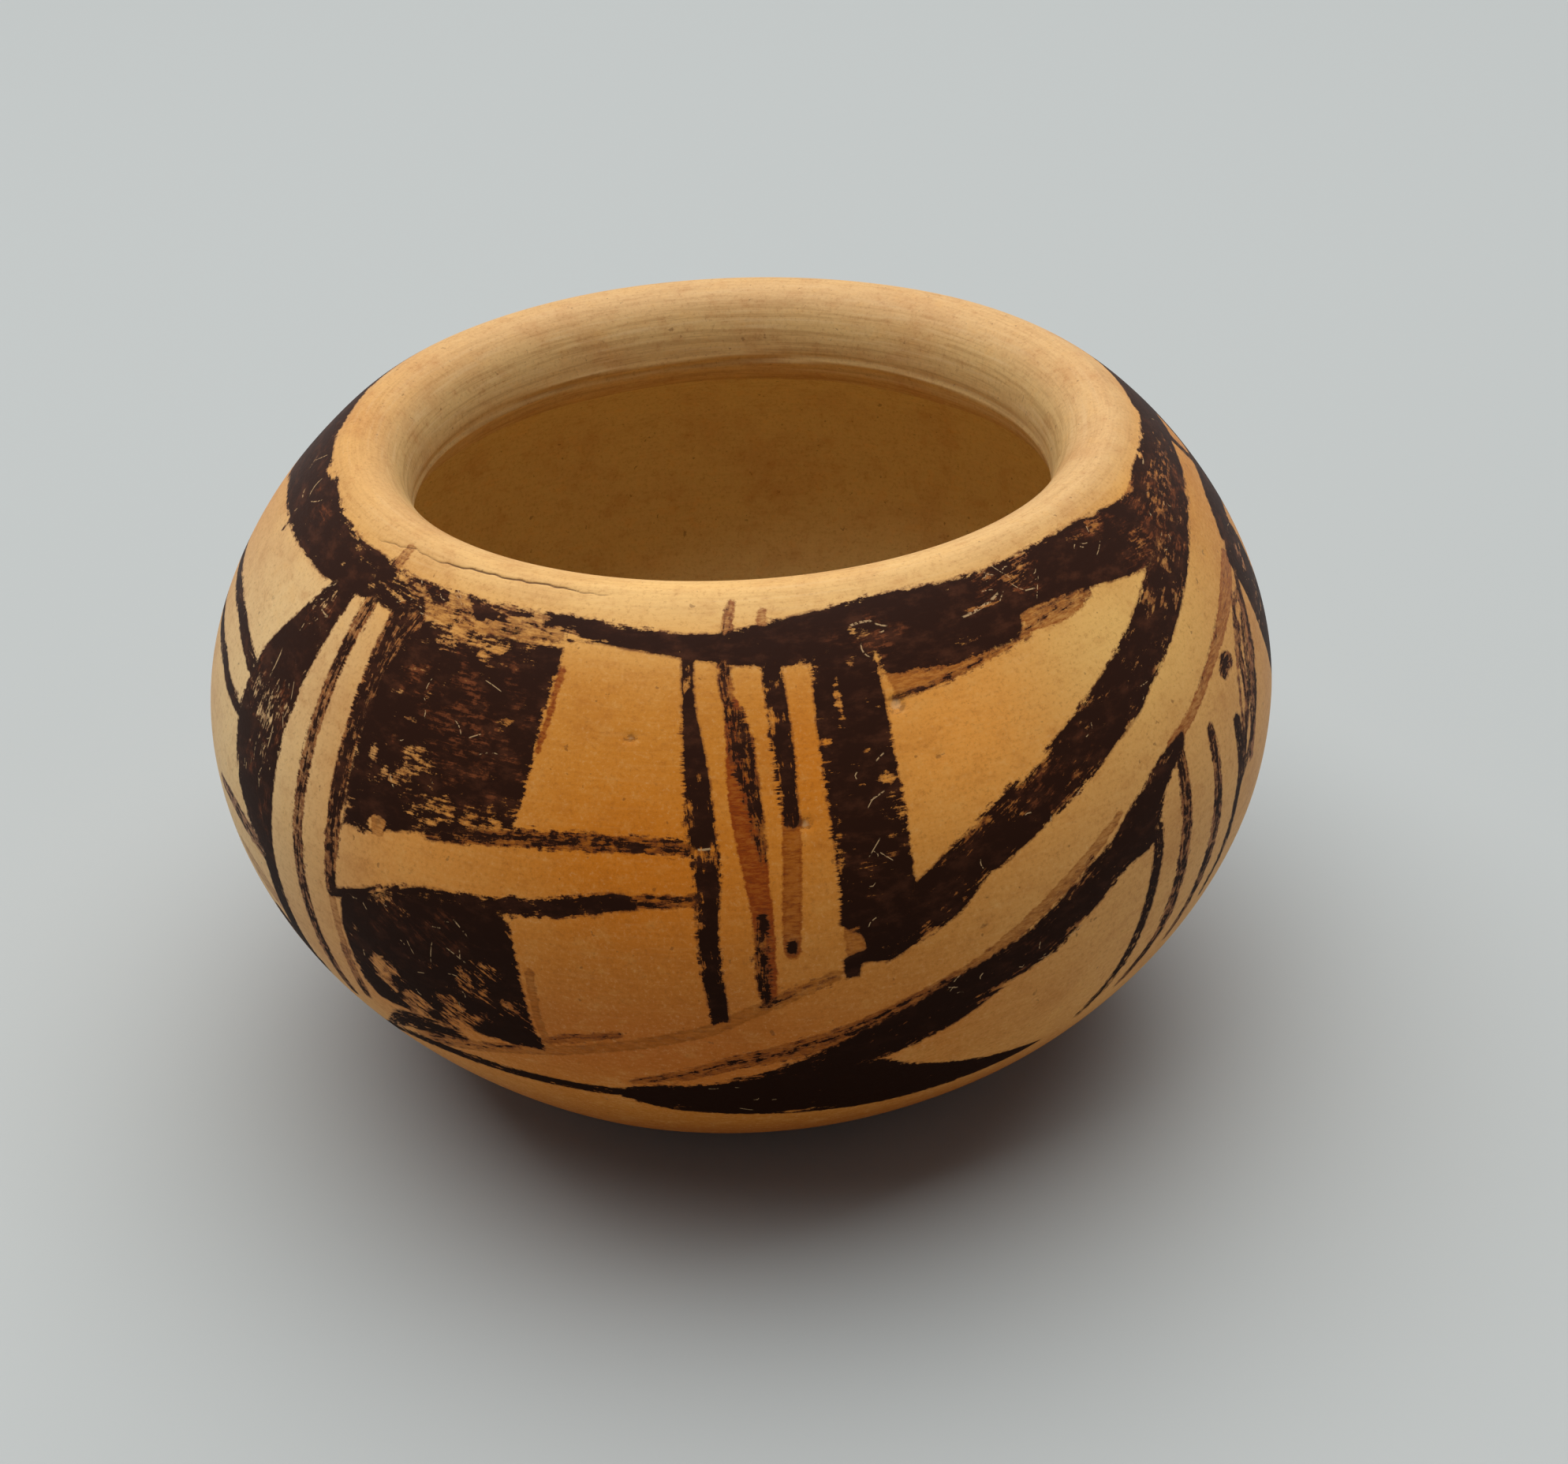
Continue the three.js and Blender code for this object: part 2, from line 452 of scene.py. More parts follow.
def panel(turn=0.0, seed=None):
    """One panel of the pattern, between one broad upright band and the next."""
    paint.set_hand(turn, seed)

    # Broad upright band at the left of the panel
    band([(213.6, 30.5), (213.3, 28.9), (207.8, 20.6), (206.6, 17.8), (205.9, 12), (207.5, 5.6),
          (211.7, -0.3), (213.2, -3), (213.2, -8), (212.5, -21)],
         [(218.7, 30.5), (216.7, 17.8), (216.4, 4.4), (216, -1.1), (215.8, -13.3), (215, -21)])
    line((201, 0.3, 1.2), (206, 0, 2), (214, -2, 2.4), dry=0.55)
    if seed is None:
        line((205, -5.6, 1.5), (209, -7.2, 3), (213, -9, 2.6), wash=0.2)
    line((210.5, -12.6, 3.2), (213, -14.5, 3.2), (215, -17, 3.2), dry=0.3)

    # Two thin uprights beside it
    line((221.7, 30, 1.8), (221.3, 20, 1.6), (221.3, -10, 1.6), (221, -18, 1.6), dry=0.46)
    line((227.1, 30, 2.4), (226.8, 8, 2), (226.3, 0, 1.5), dry=0.36)
    line((226.3, 0, 1.2), (226.2, -5, 1.2), (225.8, -14, 1.2), wash=0.3)
    line((225.9, -8, 1.2), (225.6, -12, 1.2), (225.2, -16, 1.2), dry=0.55)

    # Upper block, with the line that runs on from its foot
    line((229.8, 29.6, 2.2), (228.6, 26.5, 1.8), (228, 23, 1.4), (227.9, 19, 1), dry=0.5)
    block((231.2, 30), (232.8, 30.6), (250.3, 30.6), (248.6, 15), (248, 12.8), (234, 9.4), (231, 8.2),
          (228.3, 8.3), (227.9, 18), (228.3, 24), (229.2, 27), dry=0.1)
    line((232.7, 10.5, 2), (232.9, 9.3, 2), wash=0.3)
    line((250.7, 28.5, 0.7), (250.2, 24, 0.7), (249.5, 20.5, 0.7), wash=0.8)
    line((239, 10.4, 1.1), (250, 12.2, 1.6), (260, 12.7, 1.5), (265, 12.5, 1.3), dry=0.36)

    # Lower block hanging from the next line
    line((226.1, -0.5, 0.9), (235, 3.1, 1.3), (240, 4.3, 1.4), (250, 5.3, 1.9), (257.8, 6.9, 1.8),
         (260, 7, 1.4), dry=0.1)
    line((259, 7, 1.4), (262, 7.2, 1.2), (265.5, 7.4, 1), dry=0.55)
    block((227.8, 0), (235, 3.3), (244, 4.9), (246.6, 4.6), (247.4, 3.9), (248.3, 1.7), (248.8, -10),
          (249.3, -12.4), (249.2, -13.6), (240, -13.2), (230, -14.2), (228.3, -13.9), (227.4, -12),
          (227, -4.4), lean=-36)
    line((249.6, -2, 1), (249.6, -8, 1), (250, -13.5, 1), wash=0.25)

    # Lines that curve under the belly
    band([(219, -26.5), (225, -21.3), (230, -15.6), (235, -14), (239, -13.6)],
         [(220.5, -26.8), (223, -24.2), (230, -18.9), (240, -16.1)], dry=0.3)
    line((232, -19.4, 2.4), (245, -14.7, 1.8), (249, -13.6, 1.6), (265, -8.3, 1.7), (270, -5.6, 1.7),
         (278.3, -1.6, 1.4), wash=0.2)
    line((234, -18.6, 1.6), (240, -16.3, 1.4), (246, -14.3, 0.7), dry=0.66)
    line((250.3, -11.4, 0.9), (253, -10.4, 1.2), (257.5, -9, 0.8), dry=0.75)
    line((271.5, -4.6, 0.8), (275, -3, 1.2), (278, -2, 0.9), dry=0.72)
    line((222, -25.2, 1.2), (226, -22.6, 1.6), (235, -20.5, 1.9), (256, -20.4, 1.8), dry=0.14)
    band([(255.6, -19.5), (260, -18), (265, -17.5), (270, -16.1), (278, -15), (282.8, -15.2),
          (287.2, -17.8), (296.1, -21.7), (305, -24.2)],
         [(255.8, -21.4), (260, -23.9), (265, -24.9), (285, -27.5), (299.4, -26.1), (305, -24.5)])
    line((268, -24.3, 0.5), (274, -25.4, 0.5), (281, -26.2, 0.5))
    line((263, -16.2, 1.2), (271.5, -12, 2), (278.3, -9.7, 1.8), (290, -4.2, 0.8), wash=0.5)
    line((258, -17.4, 1), (263.5, -15.4, 1.6), (268.3, -13.2, 2.2), (277, -10.6, 2.6), (283, -8.2, 2),
         (290, -4.6, 1), dry=0.62)

    # Four uprights, from the solid one to the washed ones
    band([(264.2, 31), (265, 15), (265.6, 10.6), (265.8, 3), (266.6, -6.7)],
         [(265.5, 31), (265.8, 26), (267, 20.6), (268, 10.6), (267.7, 3), (268.3, -6.7)], dry=0.1)
    line((268.9, 30, 1), (269.1, 28, 1.2), (269.4, 26.4, 1.2), dry=0.62)
    line((269.6, 25.6, 1.3), (270.3, 20.5, 1.6), (270.9, 17, 0.5), dry=0.42)
    line((269.7, 26, 1.4), (270.6, 16.1, 2.9), (271.7, 6.7, 2.1), (272.1, -2.2, 1.6), (272, -4.6, 1),
         wash=1)
    line((270.3, 25, 1.3), (270.6, 22, 2.1), (271.7, 15, 1.3), (272.2, 11, 0.5), dry=0.46)
    line((271.7, 5.2, 1.4), (271.6, -0.5, 1.5), (271.9, -4.6, 0.9), dry=0.45)
    line((274.2, 31, 1.7), (274.7, 21.7, 2), (275, 14.7, 1.5), dry=0.2)
    line((275, 15, 1.9), (274.4, 4.4, 1.9), (274.3, 1.7, 1.7), wash=0.7)
    line((274.3, 2.5, 1.1), (274.3, 1.9, 1.1), dry=0.1)
    block((278.9, 31), (278.4, 23.3), (279, 6.7), (278.8, 3.9), (280.8, 2.6), (281.2, 1), (279, 0.4),
          (279.1, -2.2), (280.5, -2.2), (280.6, -0.5), (283.3, -0.8), (285, 0), (287, 3), (286.1, 7.1),
          (285.9, 17.8), (286.2, 31), dry=0.12)
    line((280, 3.2, 2), (280.2, 0.4, 2), wash=0.4)

    # Arc that rises from the thick upright to the band at the rim
    band([(283, 5), (295, 12.8), (300, 14.7), (305, 17.5), (325, 25.8), (328, 26.7), (335, 29.5), (355, 32),
          (361, 32)],
         [(283, -1), (290, 2.8), (292.8, 5.6), (296.1, 7.2), (310, 13.5), (315, 15.3), (320, 17.8),
          (340, 25.3), (355, 28.3), (362, 29)], dry=0.18, under=0.45)

    # Second arc under it, running on as a faint line
    band([(268, -16.2), (271.5, -15.2), (278.3, -11.1), (281.1, -8.9), (291.7, -3.9), (297.8, -1.4),
          (303.9, 2.8), (307.2, 4.4), (310, 6.7), (315.6, 10), (320.3, 11.1)],
         [(270, -18), (276, -17.5), (288.9, -12.5), (296.7, -7.2), (300.6, -5.8), (307.2, -0.6), (310, 1.1),
          (313.3, 1.9), (315.6, 6.7), (320, 9.7)], dry=0.16, under=0.35)
    line((318, 10.6, 1.5), (321, 11.3, 1.4), (330, 14.7, 1.5), (340, 17.8, 2.6), (345.5, 19.2, 2.2),
         wash=0.62)
    line((325, 13.2, 0.4), (335, 17, 0.9), (346.5, 19.6, 1), dry=0.92)

    # Thin brown edge under it
    line((288, -5.6, 1), (294, -2.6, 1.6), (304, 3.8, 1.6), (309, 7, 0.8), wash=0.35)
    line((290, -4.6, 0.6), (295, -2.2, 1), (304.6, 3.8, 0.7), dry=0.8)

    # Thin lines hanging from the second arc
    line((313.9, 3.3, 1.4), (313.8, -1.1, 1.5), (312.2, -14.4, 1.5), (309.4, -21.7, 1.1), dry=0.3)
    line((318.9, 8.9, 1.6), (318.1, -10, 2), (317.2, -14.4, 1.8), (314.7, -19.4, 1.3), dry=0.38)
    line((325, 8.9, 1.3), (324.6, -3.3, 1.9), (323, -12.2, 1.6), (321.4, -16.1, 1.1), dry=0.36)
    line((330.8, 6.7, 1.8), (330.7, 1.1, 1.9), (329.9, -1.5, 1.4), (328.9, -7.8, 1.5), (326.7, -12.8, 1.1),
         dry=0.26)
    line((331, 12.6, 1.7), (332.2, 13, 2.1), (333.4, 12.9, 1.2), dry=0.34)
    line((342.8, 15.8, 1), (337.8, 8.3, 1.1), (333.9, 1.2, 1.3), dry=0.52)
    line((346.7, 17.8, 0.8), (343.4, 15.4, 1.2), (341.1, 11.7, 1.2), (336.2, 5.2, 1.1), (331.4, 0.4, 0.9),
         dry=0.3)

    # Streaks of one broad dry stroke: degrees, mm, and how far they spread, as a share of the most
    stroke = ((343.4, 17.4, 0.6), (340.8, 14.6, 0.9), (338.4, 11.6, 1), (336.4, 8.4, 0.95), (334.6, 5, 0.8),
              (333, 2, 0.5))
    bristles = np.random.default_rng(8)
    for aside in (-3.2, -2.3, -1.5, -0.7, 0.1, 0.9, 1.6, 2.4):
        path = [(a + aside * wide + bristles.normal(0, 0.22), s + bristles.normal(0, 0.5))
                for a, s, wide in stroke]
        path = path[bristles.integers(0, 2):len(path) - bristles.integers(0, 2)]
        width, dry = bristles.uniform(0.4, 0.9), bristles.uniform(0.25, 0.55)
        line(*((a, s, width) for a, s in path), dry=dry)

    # Last block of the panel
    band([(354.6, 22.4), (348.9, 20.5), (347.7, 17.4)],
         [(357, 19.6), (351.4, 18), (349.6, 15.8)], dry=0.16)
    block((347.8, 19.8), (345.4, 19), (346, 8.9), (347.2, 4.4), (349, 1.8), (352, 1), (357.8, 2),
          (356.8, 13), (357.2, 20), dry=0.2)
    band([(347.8, 20.6), (352.2, 23), (356, 24), (367, 25)],
         [(348.6, 19.7), (361, 18.4), (364.6, 19)], dry=0.14)
    line((350.6, 20, 1.6), (351, 16, 1.6), (352, 13, 1), dry=0.5)

    # Brown washes under the rim band
    band([(286.6, 27.6), (293, 27.3), (300, 27.4)],
         [(287.6, 24.6), (292.8, 25.3), (300.5, 26.6)], wash=0.55)
    line((287.4, 24.9, 0.5), (292.8, 25.4, 0.5), (305, 27.2, 0.5), dry=0.5)
    band([(305.2, 29.8), (310, 29.4), (314.5, 29)],
         [(305.4, 27.2), (310, 26.9), (314.5, 27.2)], wash=0.55)
    line((304, 27.5, 0.7), (309.5, 28.4, 1), (316, 28.2, 0.8), dry=0.6)

    # Where the paint has rubbed thin: degrees, mm, half width, half height, how much
    rub(paint.worn, (
        (239, 29.2, 5, 1.2, 0.8), (246, 29.2, 3.2, 0.9, 0.42), (236, 16.4, 4.2, 2.6, 0.6),
        (240, 12.8, 6, 2.2, 0.6), (233, 14.8, 2.6, 1.8, 0.55), (246, 13.8, 2.6, 1.6, 0.5),
        (230.2, 15.4, 1, 3, 0.5), (235.5, 23.3, 1.2, 0.6, 0.5), (245.6, 22.8, 0.7, 1.6, 0.5),
        (234, 20.6, 1.4, 0.7, 0.45), (232.8, 9.9, 0.95, 1.1, 2.2), (233.3, 1.9, 2.4, 1.3, 0.6),
        (237.5, 1.4, 2.2, 1, 0.5), (229.8, -3.8, 1.8, 0.9, 0.5), (231.6, -8.4, 2.3, 1.9, 0.9),
        (235, -11.8, 4.2, 1.9, 0.78), (240.5, -10.6, 3.2, 2.8, 0.74), (242.8, -5.2, 2.8, 2.2, 0.66),
        (245.6, -3.6, 1.8, 2, 0.52), (238, -4.4, 2.6, 0.5, 0.5), (246.5, -7.6, 2.2, 1.5, 0.5),
        (226.6, -7.5, 0.9, 3, 0.5), (211.5, 13.6, 2.6, 3.8, 0.62), (214, 9.6, 2.4, 1.4, 0.46),
        (209, 14.2, 1.5, 1.8, 0.5), (215.6, 15.6, 1, 0.8, 0.5), (213.6, 26.6, 1.8, 1.4, 0.5),
        (207.6, 5, 1.2, 1.6, 0.5), (265.2, 16.6, 0.8, 3.2, 0.5), (266.6, 12.2, 1.8, 0.7, 0.66),
        (266, 6, 0.8, 2, 0.5), (274, 22, 0.6, 6, 0.5), (274.4, 27.4, 1, 0.7, 0.6),
        (275.1, 14.9, 1, 0.7, 0.4), (281.1, 25.8, 0.35, 3.2, 0.95), (279.2, 21.6, 0.5, 0.5, 0.8),
        (284.9, 17.6, 0.9, 0.9, 0.9), (279.4, 11.6, 0.6, 4, 0.5), (280.2, 2, 1.2, 1.4, 0.72),
        (283.6, 20.2, 1.2, 0.5, 0.4), (284.6, 13.4, 1.2, 1.6, 0.42), (283.8, 28.8, 0.8, 0.8, 0.45),
        (282, 9, 1.4, 1.4, 0.34), (293, 11.3, 4, 0.9, 0.5), (297.2, 11.7, 1.6, 1.2, 0.55),
        (301.5, 15.2, 2, 1, 0.5), (304.8, 13.2, 0.6, 1.6, 0.4), (328, 22.6, 5.6, 1.3, 0.46),
        (333, 24.6, 2.4, 0.8, 0.4), (297, -8.2, 5.6, 0.7, 0.85), (304, -3.4, 2.6, 0.6, 0.75),
        (293, -9.4, 2, 0.5, 0.6), (325, 24, 3, 1.6, 0.56), (331, 25.6, 3, 1.2, 0.58),
        (318, 20, 2.6, 0.8, 0.45), (311, 18.4, 3, 0.7, 0.42), (334, 22.4, 3, 0.7, 0.45),
        (340, 27.4, 3, 1.2, 0.6), (314, 14.8, 3, 0.7, 0.5), (287, 1.6, 1.4, 0.9, 0.6),
        (293, 5.4, 2.2, 0.9, 0.42), (303.4, 2, 3.2, 0.7, 0.55), (312, 8.2, 2.4, 0.7, 0.5),
        (317, 9.8, 2, 0.7, 0.42), (274.6, -25.6, 4, 0.42, 0.78), (262, -23.4, 1.6, 0.6, 0.4),
        (351, 12, 1.6, 2.4, 0.5), (350.6, 16.4, 1.8, 1.2, 0.6), (355, 12, 2.4, 0.7, 0.5),
        (356, 7, 2.4, 0.7, 0.5), (264.9, 28.4, 0.9, 0.9, 0.75), (269.6, 26.6, 0.9, 1.4, 0.5),
        (266.6, 0.5, 0.7, 1, 0.4),
    ))

    # Where the bristles left a comb of short teeth along the edge, on the same terms
    rub(paint.combed, (
        (263.9, 18, 0.9, 8, 0.6), (264.8, 4, 0.9, 7, 0.45), (270.6, 20, 1.3, 6, 0.8), (272, 2, 1.4, 6, 0.7),
        (273.8, 19, 0.9, 5, 0.8), (278.4, 8, 0.7, 9, 0.6), (227, 20, 1.6, 8, 0.8),
        (221.4, 14, 1.2, 14, 0.6), (252, 12.3, 9, 1.2, 0.7),
    ))


panel()
panel(turn=156, seed=5)
paint.set_hand()

# Band round the shoulder: its upper and its lower edge, painted in two lengths that overlap
SHOULDER_BAND = (
    [(175, 36.7), (180, 36.2), (189, 36), (192, 35.6), (195, 36.2), (200, 35.6), (210.5, 34.4), (220, 34.2),
     (225, 33.7), (252, 33.8), (255, 33.4), (265, 32.8), (270, 33), (280, 34.4), (290, 35.1), (300, 34.7),
     (320, 35), (331, 33.7), (336, 33.3), (340, 34.3), (345, 34.4), (355, 34.2), (360, 34), (363, 34.7),
     (375, 34.6), (390, 34.2), (420, 35.3), (450, 34.1), (480, 35.5), (525, 36.6), (535, 36.7),
     (540, 36.2)],
    [(175, 27), (180, 28.2), (190, 28.9), (213, 29), (220, 29.7), (227, 29.8), (231, 30.8), (243, 31),
     (255, 31.4), (273, 29.4), (280, 29.6), (285.9, 29.6), (286.9, 27.3), (290, 27), (295, 26.7), (300, 27),
     (304.7, 27.3), (305.4, 29.2), (310, 29.3), (315, 28.9), (328, 26.7), (335, 27.5), (345, 28.5),
     (355, 29.4), (361, 29.2), (363, 28.4), (375, 29.1), (390, 28.4), (420, 29.7), (450, 28.4), (465, 28.8),
     (525, 27.1), (535, 27), (540, 28.2)],
)
for first, last in ((175, 363), (345, 540)):
    band(*([point for point in edge if first <= point[0] <= last] for edge in SHOULDER_BAND))
line((228.5, 31.4, 0.5), (243, 31.2, 0.5), (250, 31.6, 0.5), dry=0.2)
band([(227, 33.8), (234, 33.6), (250, 33.6)],
     [(227, 30.4), (242, 30.6), (250, 31.2)], wash=0.1)
band([(298, 34.4), (315, 34.8), (324, 34.4), (331, 33.4), (340, 34), (354, 33.8)],
     [(298, 28), (318, 28.6), (328, 27.4), (340, 28.6), (354, 29.8)], wash=0.5)
line((361, 30, 2), (362.6, 23.6, 1.6), (364, 21, 1.2), dry=0.2)

# Two thin lines from the block before the front panel to its broad upright band
line((152.5, 12.2, 1.4), (163, 14.6, 1.4), (170, 16.6, 1.7), (178, 17.8, 1.8), (195, 18.2, 1.9),
     (206.6, 15.9, 1.9), dry=0.12)
line((152.5, 7, 1.3), (180, 12.3, 1.4), (195, 12.6, 1.6), (200, 11.6, 1.5), (206.9, 10.9, 1.5), dry=0.12)

# Ticks above and under the band
line((222.3, 34, 1.6), (222.3, 36.1, 1.3), wash=0.3)
line((222, 34, 1.1), (222.2, 35.9, 0.7), dry=0.62)
line((269.5, 33, 1), (269.7, 34.8, 1), (270.1, 36.1, 0.6), wash=0.6)
line((269.3, 33, 0.9), (269.5, 34.6, 0.7), (269.9, 36, 0.4), dry=0.8)
line((273.6, 33.2, 1.2), (273.8, 35, 0.8), wash=0.5)
line((194.2, 28.7, 0.8), (194.1, 28.2, 0.8), dry=0.3)

# Where the shoulder band has rubbed thin: degrees, mm, half width, half height, how much
rub(paint.worn, (
    (228.5, 32, 4, 1.6, 0.62), (231.5, 31.6, 3, 1.6, 0.86), (235, 32.2, 3, 1.6, 0.9),
    (239.5, 31.5, 4, 0.8, 0.92), (244.5, 32.2, 2.4, 1.6, 0.86), (248.5, 31.9, 2.8, 0.9, 0.8),
    (240, 33.8, 2.6, 0.5, 0.5), (224.5, 33.4, 1.6, 0.8, 0.6), (222, 31.2, 3, 0.9, 0.5),
    (218, 32.7, 2.8, 0.4, 0.5), (213, 33.6, 3, 0.6, 0.5), (213.2, 31, 1, 0.8, 0.46),
    (192.5, 35.7, 2.4, 0.5, 0.8), (307, 33.2, 2.8, 1.2, 0.6), (303.6, 33.4, 1.4, 1, 0.5),
    (309.5, 33.8, 1, 1.4, 0.55), (301.5, 31.3, 3, 0.3, 0.85), (285, 32, 1.6, 0.8, 0.48),
    (323.4, 33.8, 1.6, 1, 0.62), (320, 33.6, 2, 0.9, 0.4), (353.6, 31.8, 2.6, 0.7, 0.66),
    (344, 30, 4, 0.9, 0.6), (350, 30.4, 3.4, 1, 0.6), (338, 29.4, 3, 1.2, 0.64), (357, 30.2, 2.6, 0.9, 0.5),
    (331, 30.6, 1, 1.2, 0.45), (298, 28.4, 2.4, 0.6, 0.44), (245, 33.9, 5, 0.3, 0.6),
    (336, 33.6, 2, 0.4, 0.6), (264, 33.2, 3, 0.3, 0.5), (252.5, 31.6, 4, 0.3, 0.6),
    (345.3, 34.2, 0.7, 0.5, 0.8), (333, 27.5, 3.4, 1.4, 0.5), (338, 31.4, 2.6, 1.3, 0.6),
    (345, 31.8, 3, 1.3, 0.66), (329, 28.8, 2, 1.6, 0.46), (310.5, 34.6, 1, 0.6, 0.5),
    (30, 31.6, 5, 1.4, 0.6), (84, 33, 4, 1.2, 0.55), (140, 30, 5, 1.2, 0.6),
))

# Where the paint is scratched, on the same terms
rub(paint.scuffed, (
    (212, 13, 6, 6, 1), (213, 25, 4, 3, 0.8), (214, 3, 2, 6, 0.8), (240, 21, 9, 7, 1), (238, 0, 8, 4, 0.8),
    (230, 33, 8, 3, 0.9), (306, 33, 6, 2.4, 1), (324, 33.5, 5, 2, 0.9), (286, 31, 5, 2, 0.9),
    (336, 29, 14, 5, 0.95), (282, 10, 4, 9, 0.6), (266, 8, 2, 10, 0.6), (300, 13, 12, 4, 0.8),
    (300, -5, 10, 4, 0.8), (200, 33, 9, 1.6, 0.7), (270, -20, 16, 4, 0.5), (352, 22, 6, 6, 0.6),
    (232, -4, 6, 4, 0.7), (245, 22, 4, 5, 0.8), (190, 32, 9, 3, 0.4),
))

scratches = Scratches(paint)
# Those in the photograph: degrees, mm, half length, lean in degrees, half width, bend
for mark in (
    (301.5, 31.3, 2.4, 14, 0.14, 0.2), (299.4, 30.9, 1.3, 8, 0.1, 0.1), (192.4, 33.2, 1.3, -62, 0.11, 0.5),
    (191, 31.5, 0.8, -20, 0.09, 0.2), (285.3, 32.6, 1.3, 4, 0.11, -0.2), (287.4, 32.1, 1, -30, 0.08, 0.2),
    (213.4, 28.6, 0.8, 30, 0.09, 0.2), (215, 26, 0.9, -8, 0.08, 0.1), (210.6, 18.6, 1.8, 86, 0.1, 0.1),
    (212, 15.6, 1.2, 84, 0.08, 0), (214.2, 11.8, 1.4, 88, 0.09, 0.1), (266.8, 12.4, 0.9, 6, 0.1, 0.1),
    (282.6, 11.2, 1.1, 52, 0.05, 0), (283.6, 10.2, 0.9, -40, 0.045, 0), (296.4, 4.4, 1.2, 40, 0.07, 0.1),
    (345, 33.6, 1, 20, 0.1, 0.2), (299.5, -7, 2.2, 24, 0.1, 0.1), (303.5, -3.8, 1.6, 30, 0.09, 0.1),
):
    scratches.cut(*mark)
# And a scatter of others: degrees, mm, half width and half height of the place, lean, how many
LEAST_HALF, MOST_HALF, HALF_SPREAD, LEAN_SPREAD = 0.3, 1.5, 0.36, 38
scatter = np.random.default_rng(11)
for deg, s, wide, high, lean, many in (
    (306, 32.6, 4.5, 1.6, 10, 18), (322, 33, 5, 2, 60, 8), (213, 12, 3.5, 6, 86, 22),
    (214, 26, 3, 3, 20, 6), (286, 31.5, 5, 2, 10, 4), (232, 32, 6, 1.8, -10, 12), (238, 20, 8, 6, 8, 9),
    (236, -4, 7, 6, -38, 16), (337, 29, 6, 3, 60, 8), (281.5, 11, 3, 9, 30, 7), (297, 10, 9, 4, 36, 9),
    (315, 17, 8, 3, 40, 6), (298, -6, 10, 2.4, 26, 12), (268, -21, 9, 3, 6, 5), (190, 32, 9, 2.6, 30, 4),
    (352, 14, 5, 6, 80, 12), (20, 31, 20, 3, 10, 12), (66, 18, 14, 9, 30, 20), (120, 31, 30, 3, 10, 16),
    (110, -2, 30, 12, 40, 24),
):
    for _ in range(many):
        where = deg + wide * scatter.uniform(-1, 1), s + high * scatter.uniform(-1, 1)
        half_long = min(LEAST_HALF + scatter.exponential(HALF_SPREAD), MOST_HALF)
        angle = lean + scatter.normal(0, LEAN_SPREAD)
        scratches.cut(*where, half_long, angle, scatter.uniform(0.04, 0.07), scatter.normal(0, 0.12))


def per_vertex(field, elsewhere):
    """A field of the painted rows, as one value for each vertex of the whole surface."""
    whole = np.full((len(vertex_at), *field.shape[2:]), elsewhere, float)
    for row, values in zip(paint.rows, field):
        whole[ring_start[row]:ring_start[row] + COLUMNS] = values
    return whole


# Colours of the clay

def linear(red, green, blue):
    """A colour of light from its values on a screen, 0 to 255."""
    c = np.array([red, green, blue]) / 255
    return np.where(c <= 0.04045, c / 12.92, ((c + 0.055) / 1.055) ** 2.4)


CLAY = linear(216, 140, 46)
CLAY_BUFF_AND_PAINTED_SHEEN = linear(232, 174, 104)
CLAY_TAN_AND_PAINTED_LIGHT = linear(248, 210, 150)
CLAY_AMBER = linear(248, 164, 70)
CLAY_GOLD = linear(246, 194, 112)
CLAY_RUST = linear(198, 108, 36)
CLAY_ORANGE = linear(222, 124, 14)
CLAY_RIM = linear(226, 181, 122)
CLAY_RIM_ORANGE = linear(242, 172, 78)
CLAY_CREAM_HIGHLIGHT = linear(248, 198, 122)
CLAY_PEACH = linear(220, 160, 82)
CLAY_NECK = linear(224, 186, 124)
CLAY_THROAT_SHADE = linear(170, 120, 62)
CLAY_INSIDE = linear(220, 190, 126)
CLAY_UNDER_SHADE = linear(168, 90, 26)

# Fire clouds, some also painted light: colour, degrees, mm, half width in degrees, half height in mm, how
# much
WALL_CLOUDS = (
    # painted light falling from the left, over a tan fire cloud
    (CLAY_TAN_AND_PAINTED_LIGHT, 206, 10, 26, 44, 0.95),
    (CLAY_AMBER, 238, 5, 10, 14, 0.6),
    (CLAY_ORANGE, 262, 9, 15, 12, 0.95),
    # painted sheen on the right, over a buff fire cloud
    (CLAY_BUFF_AND_PAINTED_SHEEN, 322, -6, 34, 34, 0.9),
    (CLAY_GOLD, 318, 23, 17, 10, 0.95),
    (CLAY_AMBER, 293, 19, 12, 9, 0.85),
    (CLAY_RUST, 262, -12, 34, 14, 0.95),
    (CLAY_ORANGE, 277, 19, 5, 8, 0.7),
    (CLAY_ORANGE, 60, 4, 30, 18, 0.6),
    (CLAY_BUFF_AND_PAINTED_SHEEN, 110, 10, 36, 40, 0.6),
)
# On the rim, on the same terms: a cream painted highlight along the front of the crest, and a peach tint on
# the left
RIM_CLOUDS = (
    (CLAY_CREAM_HIGHLIGHT, 265, 38, 42, 6, 0.9),
    (CLAY_PEACH, 184, 37, 34, 6, 0.75),
)
clay = np.tile(CLAY, (len(vertex_at), 1))


def toward(colour, amount):
    clay[:] += (colour - clay) * np.clip(amount, 0, 1)[:, None]


def add_clouds(clouds):
    for colour, deg, s, wide, high, much in clouds:
        around = (vertex_deg - deg + 180) % 360 - 180
        toward(colour, much * hump(around / wide) * hump((vertex_s - s) / high))


add_clouds(WALL_CLOUDS)
